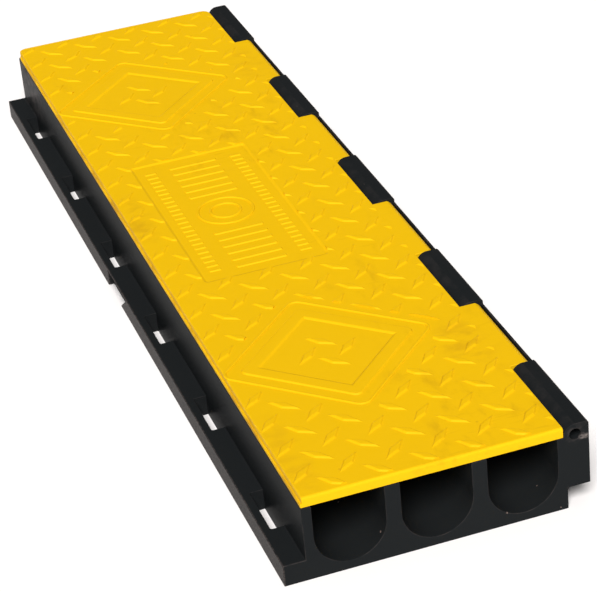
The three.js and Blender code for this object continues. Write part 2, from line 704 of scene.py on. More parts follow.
def surface_group() -> bpy.types.NodeTree:
    """The skin of a moulded face: slow sink marks, a fine grain and a bump from both.

    Returns:
        The group.
    """
    group = Group("moulded_skin")
    tree = group.tree
    place = group.take("Place", "Vector")
    depth = group.take("Depth", "Float", 0.2)
    grain = noise(tree, place, scale=900.0, detail=3.0)
    sink = noise(tree, place, scale=34.0, detail=2.0)
    fine = sums(tree, "MULTIPLY", grain, GRAIN_DEPTH)
    slow = sums(tree, "MULTIPLY", sink, SINK_DEPTH)
    bump = add(tree, "Bump", {"Height": sums(tree, "ADD", fine, slow), "Strength": depth,
                              "Distance": 1.0})
    group.give("Normal", "Vector", bump.outputs["Normal"])
    group.give("Grain", "Float", grain)
    return tree


def tone_group() -> bpy.types.NodeTree:
    """Slow and fine unevenness of a colour.

    Returns:
        The group.
    """
    group = Group("uneven_tone")
    tree = group.tree
    place = group.take("Place", "Vector")
    amount = group.take("Amount", "Float", 0.1)
    slow = noise(tree, place, scale=9.0, detail=3.0)
    fine = noise(tree, place, scale=160.0, detail=4.0, roughness=0.65)
    mixed = sums(tree, "ADD", sums(tree, "MULTIPLY", slow, SLOW_TONE_SHARE),
                 sums(tree, "MULTIPLY", fine, 1 - SLOW_TONE_SHARE))
    centred = sums(tree, "SUBTRACT", mixed, 0.5)
    group.give("Factor", "Float", sums(tree, "MULTIPLY_ADD", centred, amount, 1.0))
    return tree


def wear_group() -> bpy.types.NodeTree:
    """Where the outward edges are rubbed, and where they carry a painted highlight.

    Returns:
        The group.
    """
    group = Group("edge_wear")
    tree = group.tree
    place = group.take("Place", "Vector")
    edge = group.take("Edge", "Float", 0.0)
    amount = group.take("Amount", "Float", 0.5)
    patches = noise(tree, place, scale=70.0, detail=5.0, roughness=0.6)
    rubbed_and_highlit = ramp(tree, patches, low=0.38, high=0.66)
    mask = sums(tree, "MULTIPLY", sums(tree, "MULTIPLY", edge, rubbed_and_highlit), amount)
    group.give("Mask", "Float", mask)
    return tree


def smudge_group() -> bpy.types.NodeTree:
    """Faint scuffs and smudges left by wheels and shoes.

    Returns:
        The group.
    """
    group = Group("scuffs")
    tree = group.tree
    place = group.take("Place", "Vector")
    amount = group.take("Amount", "Float", 0.5)
    areas = noise(tree, place, scale=7.0, detail=3.0)
    where = ramp(tree, areas, low=0.50, high=0.72)
    drawn_out = stretched(tree, place, by=(1.0, 0.45, 1.0), turn=28.0)
    clouds = noise(tree, drawn_out, scale=60.0, detail=4.0, roughness=0.6)
    cloud = ramp(tree, clouds, low=0.50, high=0.80)
    in_lines = stretched(tree, place, by=(0.14, 1.0, 1.0), turn=35.0)
    streaks = noise(tree, in_lines, scale=210.0, detail=3.0, roughness=0.6)
    streak = ramp(tree, streaks, low=0.58, high=0.80)
    both = sums(tree, "MAXIMUM", cloud, sums(tree, "MULTIPLY", streak, STREAK_SHARE))
    mask = sums(tree, "MULTIPLY", sums(tree, "MULTIPLY", both, where), amount)
    group.give("Mask", "Float", mask)
    return tree


def dust_group() -> bpy.types.NodeTree:
    """Small pale specks.

    Returns:
        The group.
    """
    group = Group("dust_specks")
    tree = group.tree
    place = group.take("Place", "Vector")
    spacing = group.take("Scale", "Float", 90.0)
    amount = group.take("Amount", "Float", 0.5)
    cells = add(tree, "TexVoronoi", {"Vector": place, "Scale": spacing, "Randomness": 1.0})
    size = add(tree, "SeparateColor", {"Color": cells.outputs["Color"]})
    largest = ramp(tree, size.outputs["Red"], low=0.80, high=1.0)
    reach = sums(tree, "MULTIPLY", largest, SPECK_REACH)
    speck = sums(tree, "LESS_THAN", cells.outputs["Distance"], reach)
    group.give("Mask", "Float", sums(tree, "MULTIPLY", speck, amount))
    return tree


def spot_group() -> bpy.types.NodeTree:
    """A ragged patch of colour round one place, used for real marks and for painted light and shade.

    Returns:
        The group.
    """
    group = Group("ragged_spot")
    tree = group.tree
    place = group.take("Place", "Vector")
    middle = group.take("Middle", "Vector")
    reach = group.take("Reach", "Vector")
    amount = group.take("Amount", "Float", 0.5)
    spacing = group.take("Scale", "Float", 60.0)
    offset = add(tree, "VectorMath", {0: place, 1: middle}, operation="SUBTRACT").outputs["Vector"]
    share = add(tree, "VectorMath", {0: offset, 1: reach}, operation="DIVIDE").outputs["Vector"]
    distance = add(tree, "VectorMath", {0: share}, operation="LENGTH").outputs["Value"]
    near = sums(tree, "SUBTRACT", 1.0, ramp(tree, distance, low=0.35, high=1.0))
    in_lines = stretched(tree, place, by=(0.6, 1.0, 1.0), turn=25.0)
    streaks = noise(tree, in_lines, scale=spacing, detail=4.0, roughness=0.6)
    ragged = ramp(tree, streaks, low=0.38, high=0.68)
    mask = sums(tree, "MULTIPLY", sums(tree, "MULTIPLY", near, ragged), amount)
    group.give("Mask", "Float", mask)
    return tree


@dataclass(frozen=True)
class Spot:
    """A ragged patch of colour in one place, used for marks and for painted light and shade: its
    middle and reach in metres, and how fine its rags are.
    """

    middle: tuple[float, float, float]
    reach: tuple[float, float, float]
    colour: Colour
    amount: float
    scale: float


# How much the grain and the dirt change the roughness
GRAIN_ROUGHNESS = 0.10
DIRT_ROUGHNESS = 0.22


@dataclass(frozen=True)
class RubberFinish:
    """A moulded rubber skin: its colour, how it has worn, the light and shade painted on it, and how
    it shines.
    """

    name: str
    colour: Colour
    rubbed_and_highlit: Colour
    scuffed: Colour
    dusty: Colour
    roughness: float
    specular: float
    depth: float
    unevenness: float
    wear: float
    scuffs: float
    dust: float
    dust_scale: float = 90.0
    spots: tuple[Spot, ...] = ()

    def material(self, grain: Grain) -> bpy.types.Material:
        """Builds the finish.

        Args:
            grain: The shared node groups.

        Returns:
            The material.
        """
        made = bpy.data.materials.new(self.name)
        made.use_nodes = True
        tree = made.node_tree
        shader = tree.nodes["Principled BSDF"]
        place = add(tree, "TexCoord", {}).outputs["Object"]
        edge = add(tree, "Attribute", {}, attribute_name=EDGE_MARK).outputs["Fac"]

        def group(which: bpy.types.NodeTree, **inputs: object) -> bpy.types.Node:
            """Places one shared group.

            Args:
                which: The group.
                inputs: A value or a socket for each of its other inputs.

            Returns:
                The group's node.
            """
            node = tree.nodes.new("ShaderNodeGroup")
            node.node_tree = which
            tree.links.new(place, node.inputs["Place"])
            for name, value in inputs.items():
                if isinstance(value, bpy.types.NodeSocket):
                    tree.links.new(value, node.inputs[name])
                else:
                    node.inputs[name].default_value = value
            return node

        def mix(below: object, above: Colour, mask: bpy.types.NodeSocket) -> bpy.types.NodeSocket:
            """Lays one colour over another.

            Args:
                below: The colour or socket underneath.
                above: The colour on top.
                mask: Where the top colour shows.

            Returns:
                The mixed colour.
            """
            node = tree.nodes.new("ShaderNodeMix")
            node.data_type = "RGBA"
            tree.links.new(mask, node.inputs["Factor"])
            if isinstance(below, bpy.types.NodeSocket):
                tree.links.new(below, node.inputs["A"])
            else:
                node.inputs["A"].default_value = below
            node.inputs["B"].default_value = above
            return node.outputs["Result"]

        tone = group(grain.tone, Amount=self.unevenness).outputs["Factor"]
        # The outward edges take the rubbed colour: rubbed wear together with painted edge highlights.
        wear = group(grain.wear, Edge=edge, Amount=self.wear).outputs["Mask"]
        scuff = group(grain.smudge, Amount=self.scuffs).outputs["Mask"]
        specks = group(grain.dust, Scale=self.dust_scale, Amount=self.dust).outputs["Mask"]
        skin = group(grain.surface, Depth=self.depth)

        even = add(tree, "HueSaturation", {"Color": self.colour, "Value": tone})
        colour = mix(even.outputs["Color"], self.rubbed_and_highlit, wear)
        colour = mix(colour, self.scuffed, scuff)
        colour = mix(colour, self.dusty, specks)
        for spot in self.spots:
            mask = group(grain.spot, Middle=spot.middle, Reach=spot.reach, Amount=spot.amount,
                         Scale=spot.scale)
            colour = mix(colour, spot.colour, mask.outputs["Mask"])
        tree.links.new(colour, shader.inputs["Base Color"])

        dirt = sums(tree, "MAXIMUM", scuff, specks)
        rougher = sums(tree, "ADD", sums(tree, "MULTIPLY", skin.outputs["Grain"], GRAIN_ROUGHNESS),
                       sums(tree, "MULTIPLY", dirt, DIRT_ROUGHNESS))
        roughness = sums(tree, "ADD", rougher, self.roughness - GRAIN_ROUGHNESS / 2)
        tree.links.new(roughness, shader.inputs["Roughness"])
        tree.links.new(skin.outputs["Normal"], shader.inputs["Normal"])
        shader.inputs["Specular IOR Level"].default_value = self.specular
        return made


BLACK = RubberFinish(
    name="black_moulded_rubber",
    colour=screen(28, 30, 31),
    # Lighter on the outward edges: rubbed wear together with painted edge highlights.
    rubbed_and_highlit=screen(66, 60, 58),
    scuffed=screen(38, 36, 35),
    dusty=screen(120, 104, 98),
    roughness=0.40,
    specular=0.02,
    depth=0.10,
    unevenness=0.3,
    wear=0.4,
    scuffs=0.5,
    dust=0.8,
    spots=(
        # Painted highlight: a small light glint by the lower right of the rod hole, on the near
        # knuckle's end.
        Spot(middle=(0.1200, -0.4572, 0.0620), reach=(0.0060, 0.003, 0.0034),
             colour=screen(120, 112, 108), amount=0.9, scale=520.0),
        # Lighter over the near knuckle's end face, round the rod hole.
        Spot(middle=(0.1130, -0.4572, 0.0654), reach=(0.0095, 0.003, 0.0095),
             colour=screen(66, 60, 58), amount=0.8, scale=160.0),
        # Painted reflection: the wall made lighter towards its far end, where it catches light from
        # the side.
        Spot(middle=(-0.1062, 0.4572, 0.0480), reach=(0.003, 0.130, 0.040),
             colour=screen(78, 72, 70), amount=0.8, scale=120.0),
        # Painted reflection: the ledge's whole outer side made lighter, standing in for the floor that
        # it reflects.
        Spot(middle=(-0.1244, 0.0, 0.0090), reach=(0.0015, 2.0, 0.030),
             colour=screen(76, 69, 66), amount=1.0, scale=900.0),
    ),
)
YELLOW = RubberFinish(
    name="yellow_moulded_rubber",
    colour=screen(226, 178, 9),
    rubbed_and_highlit=screen(232, 185, 12),
    scuffed=screen(184, 136, 14),
    dusty=screen(190, 140, 24),
    roughness=0.6,
    specular=0.07,
    depth=0.12,
    unevenness=0.08,
    wear=0.3,
    scuffs=0.55,
    dust=0.35,
    dust_scale=60.0,
    spots=(
        Spot(middle=(-0.0980, 0.0250, 0.0735), reach=(0.020, 0.070, 0.004),
             colour=screen(190, 140, 20), amount=0.45, scale=90.0),
        Spot(middle=(-0.0960, -0.4040, 0.0735), reach=(0.020, 0.080, 0.004),
             colour=screen(198, 148, 20), amount=0.30, scale=80.0),
        Spot(middle=(0.0860, -0.3080, 0.0735), reach=(0.030, 0.048, 0.004),
             colour=screen(192, 142, 20), amount=0.42, scale=90.0),
        Spot(middle=(0.0980, 0.3000, 0.0735), reach=(0.026, 0.060, 0.004),
             colour=screen(198, 148, 20), amount=0.28, scale=80.0),
        # Painted shade: the lid's left lip and set-back side darkened to ochre along the whole length,
        # where less light falls on them.
        Spot(middle=(-0.1062, 0.0, 0.0690), reach=(0.0022, 0.8, 0.0075),
             colour=screen(182, 132, 28), amount=0.9, scale=40.0),
    ),
)


@dataclass(frozen=True)
class RodFinish:
    """The drawn rod's finish: plain dark grey with fine lines along it."""

    colour: Colour = screen(58, 60, 56)
    line_colour: Colour = screen(84, 86, 80)
    roughness: float = 0.5
    line_roughness: float = 0.2
    depth: float = 0.05

    def material(self, grain: Grain) -> bpy.types.Material:
        """Builds the finish.

        Args:
            grain: The shared node groups.

        Returns:
            The material.
        """
        made = bpy.data.materials.new("drawn_rod")
        made.use_nodes = True
        tree = made.node_tree
        shader = tree.nodes["Principled BSDF"]
        place = add(tree, "TexCoord", {}).outputs["Object"]
        drawn_out = stretched(tree, place, by=(1.0, 0.02, 1.0))
        lines = noise(tree, drawn_out, scale=1400.0, detail=2.0)
        colour = add(tree, "Mix", {"Factor": lines}, data_type="RGBA")
        colour.inputs["A"].default_value = self.colour
        colour.inputs["B"].default_value = self.line_colour
        tree.links.new(colour.outputs["Result"], shader.inputs["Base Color"])
        roughness = sums(tree, "MULTIPLY_ADD", lines, self.line_roughness,
                         self.roughness - self.line_roughness / 2)
        tree.links.new(roughness, shader.inputs["Roughness"])
        skin = tree.nodes.new("ShaderNodeGroup")
        skin.node_tree = grain.surface
        skin.inputs["Depth"].default_value = self.depth
        tree.links.new(place, skin.inputs["Place"])
        tree.links.new(skin.outputs["Normal"], shader.inputs["Normal"])
        return made


@dataclass(frozen=True)
class Base:
    """The black base: channels, joining ledge, undercut and hinge knuckles, moulded in one."""

    cover: Cover
    knuckle_chamfer: float = 0.0016
    strip_drop: float = 0.0042
    slot_count: int = 6
    slot_pitch: float = 0.1516
    slot_shift: float = -0.0025
    slot_length: float = 0.053
    slot_rim: float = 0.007
    slot_corner: float = 0.0015
    notch_start: float = 0.0078
    notch_length: float = 0.040
    notch_lean: float = 0.024
    notch_depth: float = 0.005
    notch_skin: float = 0.0012
    notch_foot: float = 0.003
    undercut_round: float = 0.003
    wall_round: float = 0.0012
    outer_wall_round: float = 0.0020
    ledge_round: float = 0.0007
    plain_round: float = 0.0005
    fine_round: float = 0.00022
    hinge_margin: float = 0.01
    channel_steps: int = 48
    shoulder_steps: int = 14
    slot_corner_steps: int = 5

    def channel(self, start: float) -> list[Point]:
        """One channel's outline, from its left lip to its right lip.

        Args:
            start: Its left side.

        Returns:
            The outline.
        """
        c = self.cover
        radius = c.channel_width / 2
        round_floor = arc((start + radius, c.channel_floor + radius), radius, 180, 360,
                          self.channel_steps)
        return [(start, c.wall_top), *round_floor, (start + c.channel_width, c.wall_top)]

    def section(self) -> list[Point]:
        """The base's section at a knuckle.

        Returns:
            The outline in X and Z, anticlockwise from the ledge's foot.
        """
        c = self.cover
        points = [
            (c.left, 0.0),
            (c.undercut_face, 0.0),
            (c.undercut_face, c.undercut_height),
            (c.right, c.undercut_height),
            (c.right, c.knuckle_top - self.knuckle_chamfer),
            (c.right - self.knuckle_chamfer, c.knuckle_top),
            *arc((c.axis_x, c.axis_z), c.knuckle_radius, 90, 180, self.shoulder_steps),
            (c.axis_x - c.knuckle_radius, c.wall_top),
        ]
        for i in reversed(range(c.channel_count)):
            points += reversed(self.channel(c.first_channel + i * c.channel_pitch))
        return [*points, (c.wall_face, c.wall_top), (c.wall_face, c.ledge_height),
                (c.left, c.ledge_height)]

    def finger_rooms(self) -> list[Solid]:
        """The rooms between the knuckles that the lid's fingers turn in.

        Returns:
            A cutter for each room.
        """
        c = self.cover
        strip_top = c.knuckle_top - self.strip_drop
        inner = c.axis_x - c.pocket_radius
        outer = c.axis_x + c.pocket_radius
        outline = [
            *arc((c.axis_x, c.axis_z), c.pocket_radius, 180, 360, 2 * self.shoulder_steps),
            (outer, strip_top),
            (c.right + c.beyond, strip_top),
            (c.right + c.beyond, c.knuckle_top + c.beyond),
            (inner, c.knuckle_top + c.beyond),
        ]
        starts = c.knuckle_starts
        return [Solid.prism(outline, Axis.Y, low + c.knuckle_length, high)
                for low, high in zip(starts, starts[1:])]

    def ledge_slots(self) -> list[Solid]:
        """The slots through the ledge, each open to the wall's foot.

        Returns:
            A cutter for each slot.
        """
        c = self.cover
        made = []
        for i in range(self.slot_count):
            middle = self.slot_shift + (i - (self.slot_count - 1) / 2) * self.slot_pitch
            low = (c.left + self.slot_rim, middle - self.slot_length / 2)
            high = (c.wall_face, middle + self.slot_length / 2)
            radii = (self.slot_corner, 0.0, 0.0, self.slot_corner)
            outline = rounded_rectangle(low, high, radii, self.slot_corner_steps)
            made.append(Solid.prism(outline, Axis.Z, -c.beyond, c.ledge_height + c.beyond))
        return made

    def finger_notch(self) -> Solid:
        """The notch in the ledge's outer side.

        Returns:
            Its cutter.
        """
        c = self.cover
        end = self.notch_start + self.notch_length
        top = c.ledge_height - self.notch_skin
        below = self.notch_start + self.notch_lean * c.beyond / top
        outline = [
            (below, -c.beyond),
            (end + self.notch_foot + c.beyond, -c.beyond),
            (end, self.notch_foot),
            (end, top),
            (self.notch_start - self.notch_lean, top),
        ]
        return Solid.prism(outline, Axis.X, c.left - c.beyond, c.left + self.notch_depth)

    def edge_round(self, middle: Vector, along: Vector, convex: bool) -> float:
        """How far one edge of the base is rounded.

        Args:
            middle: The edge's middle.
            along: Its direction.
            convex: False where two faces meet in a valley.

        Returns:
            The radius.
        """
        c = self.cover
        lengthwise = abs(along.y) > LENGTHWISE
        if lengthwise and not convex and abs(middle.x - c.undercut_face) < self.fine_round:
            return self.undercut_round
        if middle.x < c.wall_face + self.fine_round and middle.z < c.ledge_height + self.fine_round:
            on_top = middle.z > c.ledge_height - self.fine_round
            on_rim = on_top and middle.x < c.left + self.fine_round
            at_end = abs(middle.y) > c.far - self.fine_round
            at_wall = on_top and lengthwise and not convex
            return self.ledge_round if on_rim or at_end or at_wall else self.fine_round
        if lengthwise and convex and abs(middle.z - c.wall_top) < self.fine_round:
            if middle.x < c.wall_face + self.fine_round:
                return self.outer_wall_round
            by_hinge = middle.x >= c.undercut_face - self.hinge_margin
            return self.plain_round if by_hinge else self.wall_round
        return self.plain_round if convex else self.fine_round

    def build(self, finish: bpy.types.Material) -> bpy.types.Object:
        """Moulds the base.

        Args:
            finish: Its material.

        Returns:
            The piece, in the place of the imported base.
        """
        c = self.cover
        solid = Solid.prism(self.section(), Axis.Y, c.near, c.far)
        cutters = [*self.finger_rooms(), c.rod_hole(), *self.ledge_slots(), self.finger_notch()]
        solid.combine(cutters, Combine.CUT).soften(self.edge_round, segments=3)
        piece = solid.piece("base_moulding", Body.BASE, Slot.BLACK, finish)
        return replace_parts(piece, "base")


@dataclass(frozen=True)
class Lid:
    """The yellow lid: a plate with a lip, and fingers rolled round the rod."""

    cover: Cover
    lip_height: float = 0.0032
    lip_reach: float = 0.0013
    far_corner: float = 0.009
    panel_centre: Point = (-0.018, 0.0045)
    panel_length: float = 0.2435
    panel_width: float = 0.1135
    panel_corner: float = 0.0045
    panel_depth: float = 0.001
    panel_slope: float = 0.0024
    near_round: float = 0.0024
    top_round: float = 0.0012
    plain_round: float = 0.0006
    fine_round: float = 0.00035
    barrel_steps: int = 48
    corner_steps: int = 12

    def section(self) -> list[Point]:
        """The lid's section at a finger.

        Returns:
            The outline in X and Z, anticlockwise from the lip's foot.
        """
        c = self.cover
        under = 180 + math.degrees(math.asin(c.axis_above_seat / c.barrel_radius))
        over = 360 + math.degrees(math.asin((c.lid_top - c.axis_z) / c.barrel_radius))
        return [
            (c.wall_face, c.seat),
            *arc((c.axis_x, c.axis_z), c.barrel_radius, under, over, self.barrel_steps),
            (c.wall_face + self.lip_reach, c.lid_top),
            (c.wall_face + self.lip_reach, c.seat + self.lip_height),
            (c.wall_face, c.seat + self.lip_height),
        ]

    def knuckle_rooms(self) -> list[Solid]:
        """What the knuckles need clear of the lid.

        Returns:
            A cutter for each knuckle.
        """
        c = self.cover
        made = []
        for i, start in enumerate(c.knuckle_starts):
            first, last = i == 0, i == c.knuckle_count - 1
            y0 = start - (c.beyond if first else c.finger_end_gap)
            y1 = start + c.knuckle_length + (c.beyond if last else c.finger_end_gap)
            made.append(Solid.block((c.lid_edge, y0, c.axis_z - c.pocket_radius - c.beyond),
                                    (c.right + c.beyond, y1, c.knuckle_top + c.beyond)))
        return made

    def plan(self) -> Solid:
        """The lid seen from above.

        Returns:
            A tall prism with the lid's rounded corners, and room for the fingers.
        """
        c = self.cover
        radii = (0.0, 0.0, self.far_corner, self.far_corner)
        outline = rounded_rectangle((c.wall_face, c.near), (c.lid_edge, c.far), radii,
                                    self.corner_steps)
        above = c.knuckle_top + c.beyond
        plate = Solid.prism(outline, Axis.Z, 0.0, above)
        fingers = Solid.block((c.lid_edge - self.far_corner, c.near + c.knuckle_length, 0.0),
                              (c.right, c.far - c.knuckle_length, above))
        return plate.combine([fingers], Combine.JOIN)

    def near_shoulder(self) -> Solid:
        """What the soft round along the near top edge takes off.

        Returns:
            The cutter.
        """
        c = self.cover
        r = self.near_round
        outline = [
            *arc((c.near + r, c.lid_top - r), r, 180, 90, self.corner_steps),
            (c.near + r, c.lid_top + c.beyond),
            (c.near - c.beyond, c.lid_top + c.beyond),
            (c.near - c.beyond, c.lid_top - r),
        ]
        return Solid.prism(outline, Axis.X, c.wall_face - c.beyond, c.lid_edge + c.beyond)

    def panel(self) -> Solid:
        """The sunk panel in the middle of the plate.

        Returns:
            Its cutter.
        """
        c, (x, y) = self.cover, self.panel_centre
        rings = []
        for inset, height in ((self.panel_slope, c.lid_top - self.panel_depth), (0.0, c.lid_top),
                              (0.0, c.lid_top + c.beyond)):
            across, along = self.panel_width / 2 - inset, self.panel_length / 2 - inset
            outline = rounded_rectangle((x - across, y - along), (x + across, y + along),
                                        [self.panel_corner - inset] * 4, self.corner_steps)
            rings.append([(*p, height) for p in outline])
        return Solid.stack(rings)

    def edge_round(self, middle: Vector, along: Vector, convex: bool) -> float:
        """How far one edge of the lid is rounded.

        Args:
            middle: The edge's middle.
            along: Its direction. Not used.
            convex: False where two faces meet in a valley.

        Returns:
            The radius.
        """
        c = self.cover
        on_top = abs(middle.z - c.lid_top) < self.fine_round
        set_back = middle.x < c.wall_face + self.far_corner / 4
        if on_top and (set_back or middle.y > c.far - self.far_corner):
            return self.top_round
        above_lip = middle.z > c.seat + self.lip_height + self.fine_round
        if set_back and above_lip and middle.y < c.near + self.near_round:
            return self.top_round
        if not convex or middle.z > c.lid_top - 2 * self.panel_depth and self.over_panel(middle):
            return self.fine_round
        return self.plain_round

    def over_panel(self, place: Vector) -> bool:
        """Whether a place lies on the panel or its rim.

        Args:
            place: A point on the top.

        Returns:
            True where it does.
        """
        x, y = self.panel_centre
        across = abs(place.x - x) < self.panel_width / 2 + self.fine_round
        return across and abs(place.y - y) < self.panel_length / 2 + self.fine_round

    def build(self, finish: bpy.types.Material) -> bpy.types.Object:
        """Moulds the lid's plate.

        Args:
            finish: Its material.

        Returns:
            The piece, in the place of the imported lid.
        """
        c = self.cover
        solid = Solid.prism(self.section(), Axis.Y, c.near, c.far)
        cutters = [*self.knuckle_rooms(), c.rod_hole(), self.panel(), self.near_shoulder()]
        solid.combine(cutters, Combine.CUT)
        solid.combine([self.plan()], Combine.MEET).soften(self.edge_round, segments=4)
        piece = solid.piece("lid_plate", Body.LID, Slot.YELLOW, finish)
        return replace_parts(piece, "lid")


def placed(outline: Sequence[Point], centre: Point, turn: float, height: float) -> Ring:
    """Turns an outline, moves it and lifts it.

    Args:
        outline: The outline about its own middle.
        centre: Where its middle goes.
        turn: How far it turns, in degrees.
        height: The height that it lies at.

    Returns:
        The ring.
    """
    cos, sin = math.cos(math.radians(turn)), math.sin(math.radians(turn))
    return [(centre[0] + x * cos - y * sin, centre[1] + x * sin + y * cos, height) for x, y in outline]


class Relief:
    """Raised marks on flat faces, built from rings of points that climb to a crest."""

    SAME_PLACE = 1e-7
    SHADING_WEIGHT = 60

    def __init__(self) -> None:
        """Starts an empty relief."""
        self.bm = bmesh.new()

    def mound(self, rings: Sequence[Ring]) -> list[bmesh.types.BMFace]:
        """Adds a closed mound whose first ring is its foot and last ring its crest.

        Args:
            rings: Rings of as many points each, anticlockwise from above.

        Returns:
            Its faces.
        """
        loops = [[self.bm.verts.new(p) for p in ring] for ring in rings]
        faces = [self.bm.faces.new(list(reversed(loops[0]))), self.bm.faces.new(loops[-1])]
        for low, high in zip(loops, loops[1:]):
            faces += self.band(low, high)
        return faces

    def ridge(self, rings: Sequence[Ring]) -> None:
        """Adds a ridge round a hole: its rings go up one side and down the other, then close below.

        Args:
            rings: Rings of as many points each, anticlockwise from above.
        """
        loops = [[self.bm.verts.new(p) for p in ring] for ring in rings]
        for low, high in zip(loops, [*loops[1:], loops[0]]):
            self.band(low, high)

    def band(self, low: Sequence[bmesh.types.BMVert],
             high: Sequence[bmesh.types.BMVert]) -> list[bmesh.types.BMFace]:
        """Joins two rings with a band of faces.

        Args:
            low: The lower ring.
            high: The ring above it.

        Returns:
            The faces.
        """
        count = len(low)
        return [self.bm.faces.new((low[i], low[(i + 1) % count], high[(i + 1) % count], high[i]))
                for i in range(count)]

    def trim(self, faces: Sequence[bmesh.types.BMFace], point: Vector, outwards: Vector) -> None:
        """Cuts a mound square with a plane and closes the cut.

        Args:
            faces: The mound's faces.
            point: A point on the plane.
            outwards: The side that is cut off.
        """
        edges = [e for f in faces for e in f.edges]
        verts = [v for f in faces for v in f.verts]
        parts = list(dict.fromkeys([*faces, *edges, *verts]))
        cut = bmesh.ops.bisect_plane(self.bm, geom=parts, dist=self.SAME_PLACE,
                                     plane_co=point, plane_no=outwards, clear_outer=True)
        open_edges = [g for g in cut["geom_cut"] if isinstance(g, bmesh.types.BMEdge)]
        for edge in open_edges:
            edge.smooth = False
        bmesh.ops.edgeloop_fill(self.bm, edges=open_edges)

    def solid(self) -> Solid:
        """Closes the relief.

        Returns:
            The relief as closed solids, shaded smoothly up to its steep sides.
        """
        bmesh.ops.recalc_face_normals(self.bm, faces=self.bm.faces)
        mesh = bpy.data.meshes.new("relief")
        self.bm.to_mesh(mesh)
        self.bm.free()
        mesh.shade_smooth()
        solid = Solid(mesh)
        normals = solid.thing.modifiers.new("shading", "WEIGHTED_NORMAL")
        normals.weight = self.SHADING_WEIGHT
        normals.keep_sharp = True
        solid.apply()
        return solid


@dataclass(frozen=True)
class Lug:
    """One pointed tread lug: a long lozenge with sloping sides and a flat crest.

    Its profile pairs distances inwards with shares of its height.
    """

    length: float = 0.0304
    width: float = 0.0080
    height: float = 0.0012
    tip_round: float = 0.0005
    side_round: float = 0.0022
    steps: int = 4
    profile: tuple[Point, ...] = (
        (-0.0006, -0.25), (-0.0004, -0.01), (-0.0002, 0.04), (0.0, 0.11), (0.00025, 0.29),
        (0.0006, 0.62), (0.00085, 0.82), (0.0011, 0.92), (0.0015, 0.98), (0.0021, 1.0),
    )

    @property
    def half_angle(self) -> float:
        """Half the angle at a tip, in radians."""
        return math.atan2(self.width, self.length)

    def outline(self, inset: float) -> list[Point]:
        """The lozenge along X, with its sides moved inwards.

        Args:
            inset: How far they are moved.

        Returns:
            The outline.
        """
        half = self.half_angle
        share = 1 - inset / (self.length / 2 * math.sin(half))
        tip, side = share * self.tip_round, share * self.side_round
        reach = share * self.length / 2 - tip / math.sin(half)
        rise = share * self.width / 2 - side / math.cos(half)
        slant = math.degrees(half)
        return [
            *arc((reach, 0.0), tip, slant - 90, 90 - slant, self.steps),
            *arc((0.0, rise), side, 90 - slant, 90 + slant, self.steps),
            *arc((-reach, 0.0), tip, 90 + slant, 270 - slant, self.steps),
            *arc((0.0, -rise), side, 270 - slant, 270 + slant, self.steps),
        ]

    def rings(self, centre: Point, turn: float, ground: float) -> list[Ring]:
        """The lug's rings, from its buried foot to its crest.

        Args:
            centre: Its middle.
            turn: Its direction, in degrees from +X.
            ground: The height of the plate.

        Returns:
            The rings.
        """
        return [placed(self.outline(inset), centre, turn, ground + rise * self.height)
                for inset, rise in self.profile]

    def reach(self, turn: float, towards: Vector) -> float:
        """How far the lug reaches from its middle.

        Args:
            turn: Its direction, in degrees from +X.
            towards: A direction of length 1.

        Returns:
            The distance in that direction.
        """
        angle = math.radians(turn)
        along = abs(towards.x * math.cos(angle) + towards.y * math.sin(angle))
        across = abs(towards.x * math.sin(angle) - towards.y * math.cos(angle))
        return max(along * self.length / 2, across * self.width / 2)


@dataclass(frozen=True)
class KeepOut:
    """A turned rectangle that the tread's rows stop at."""

    centre: Point
    half_x: float
    half_y: float
    turn: float

    def nearest_side(self, spot: Vector) -> tuple[float, Vector, Vector]:
        """The side that a spot lies furthest outside of.

        Args:
            spot: The spot.

        Returns:
            How far outside it lies, a point on that side, and the side's outward direction.
        """
        rotation = Matrix.Rotation(math.radians(self.turn), 3, "Z")
        middle = Vector((*self.centre, 0))
        sides = []
        for x, y, half in ((1, 0, self.half_x), (-1, 0, self.half_x), (0, 1, self.half_y),
                           (0, -1, self.half_y)):
            normal = rotation @ Vector((x, y, 0))
            sides.append(((spot - middle).dot(normal) - half, middle + normal * half, normal))
        return max(sides, key=lambda side: side[0])


